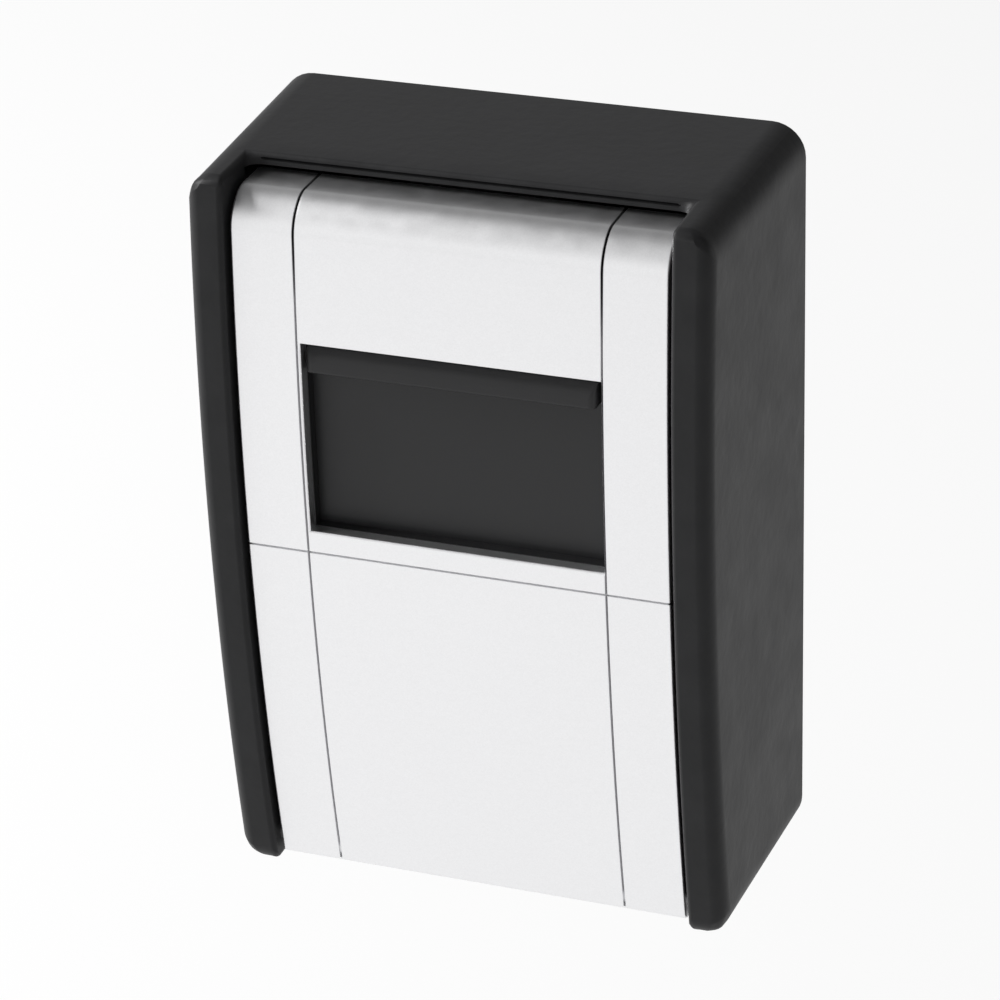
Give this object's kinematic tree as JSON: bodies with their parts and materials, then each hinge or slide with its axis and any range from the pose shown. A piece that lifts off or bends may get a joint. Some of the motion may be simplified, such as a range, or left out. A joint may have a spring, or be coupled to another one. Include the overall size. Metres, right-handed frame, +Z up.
{
  "type": "combination key safe",
  "caption": "Wall-mounted key safe: a die-cast housing with a bowed door that folds down on a rod, and a dial code lock behind a sliding shutter.",
  "frame": {"origin": "middle of the back face, which lies on the wall, at the centre of the four wall holes", "axes": "+X to the right as seen from the front, +Y into the wall, +Z up"},
  "size_m": [0.0832, 0.0434, 0.12],
  "materials": {
    "black_paint": "gloss black paint on die-cast zinc, with a slight orange peel",
    "silver_paint": "satin metallic silver paint on die-cast zinc",
    "grey_plastic": "satin dark grey plastic",
    "black_plastic": "fine-grained black plastic",
    "button_plastic": "satin dark grey plastic",
    "tab_plastic": "light grey plastic",
    "dial_plastic": "satin black plastic with white numerals",
    "brass": "stamped brass",
    "steel": "bright zinc-plated steel",
    "screw_steel": "zinc-plated steel",
    "spring_steel": "spring steel"
  },
  "bodies": {
    "housing": {"housing": "black_paint", "hinge_rod": "steel"},
    "door": {"door_shell": "silver_paint", "mechanism_frame": "black_plastic", "frame_screws": "screw_steel", "detent_spring": "spring_steel", "rear_cover": "black_plastic", "cover_screws": "screw_steel", "latch_springs": "spring_steel"},
    "shutter": {"shutter": "grey_plastic"},
    "latch": {"latch_slide": "steel", "release_button": "button_plastic"},
    "code_slide": {"axle": "steel", "axle_clips": "steel", "code_tab": "tab_plastic"},
    "dial_1": {"dial_1": "dial_plastic"},
    "dial_2": {"dial_2": "dial_plastic"},
    "dial_3": {"dial_3": "dial_plastic"},
    "dial_4": {"dial_4": "dial_plastic"},
    "cam_1": {"cam_1": "brass"},
    "cam_2": {"cam_2": "brass"},
    "cam_3": {"cam_3": "brass"},
    "cam_4": {"cam_4": "brass"}
  },
  "joints": [
    {"name": "door_hinge", "type": "hinge", "parent": "housing", "child": "door", "pos_m": [0, -0.03342, -0.0552], "axis": [1, 0, 0], "range_deg": [0, 100]},
    {"name": "shutter_slide", "type": "slide", "parent": "door", "child": "shutter", "axis": [0, 0, -1], "range_m": [0, 0.025]},
    {"name": "latch_press", "type": "slide", "parent": "door", "child": "latch", "axis": [0, 0, -1], "range_m": [0, 0.0036], "stiffness_N_per_m": 400, "springref_m": -0.004, "deforming": ["latch_springs"]},
    {"name": "code_shift", "type": "slide", "parent": "door", "child": "code_slide", "axis": [1, 0, 0], "range_m": [0, 0.0013]},
    {"name": "dial_1_turn", "type": "hinge", "parent": "door", "child": "dial_1", "pos_m": [0, -0.028, 0.0165], "axis": [1, 0, 0], "continuous": true},
    {"name": "dial_2_turn", "type": "hinge", "parent": "door", "child": "dial_2", "pos_m": [0, -0.028, 0.0165], "axis": [1, 0, 0], "continuous": true},
    {"name": "dial_3_turn", "type": "hinge", "parent": "door", "child": "dial_3", "pos_m": [0, -0.028, 0.0165], "axis": [1, 0, 0], "continuous": true},
    {"name": "dial_4_turn", "type": "hinge", "parent": "door", "child": "dial_4", "pos_m": [0, -0.028, 0.0165], "axis": [1, 0, 0], "continuous": true},
    {"name": "cam_1_turn", "type": "hinge", "parent": "code_slide", "child": "cam_1", "pos_m": [0, -0.028, 0.0165], "axis": [1, 0, 0], "continuous": true},
    {"name": "cam_2_turn", "type": "hinge", "parent": "code_slide", "child": "cam_2", "pos_m": [0, -0.028, 0.0165], "axis": [1, 0, 0], "continuous": true},
    {"name": "cam_3_turn", "type": "hinge", "parent": "code_slide", "child": "cam_3", "pos_m": [0, -0.028, 0.0165], "axis": [1, 0, 0], "continuous": true},
    {"name": "cam_4_turn", "type": "hinge", "parent": "code_slide", "child": "cam_4", "pos_m": [0, -0.028, 0.0165], "axis": [1, 0, 0], "continuous": true}
  ],
  "couplings": [
    {"joint": "cam_1_turn", "follows": "dial_1_turn", "ratio": 1},
    {"joint": "cam_2_turn", "follows": "dial_2_turn", "ratio": 1},
    {"joint": "cam_3_turn", "follows": "dial_3_turn", "ratio": 1},
    {"joint": "cam_4_turn", "follows": "dial_4_turn", "ratio": 1}
  ]
}
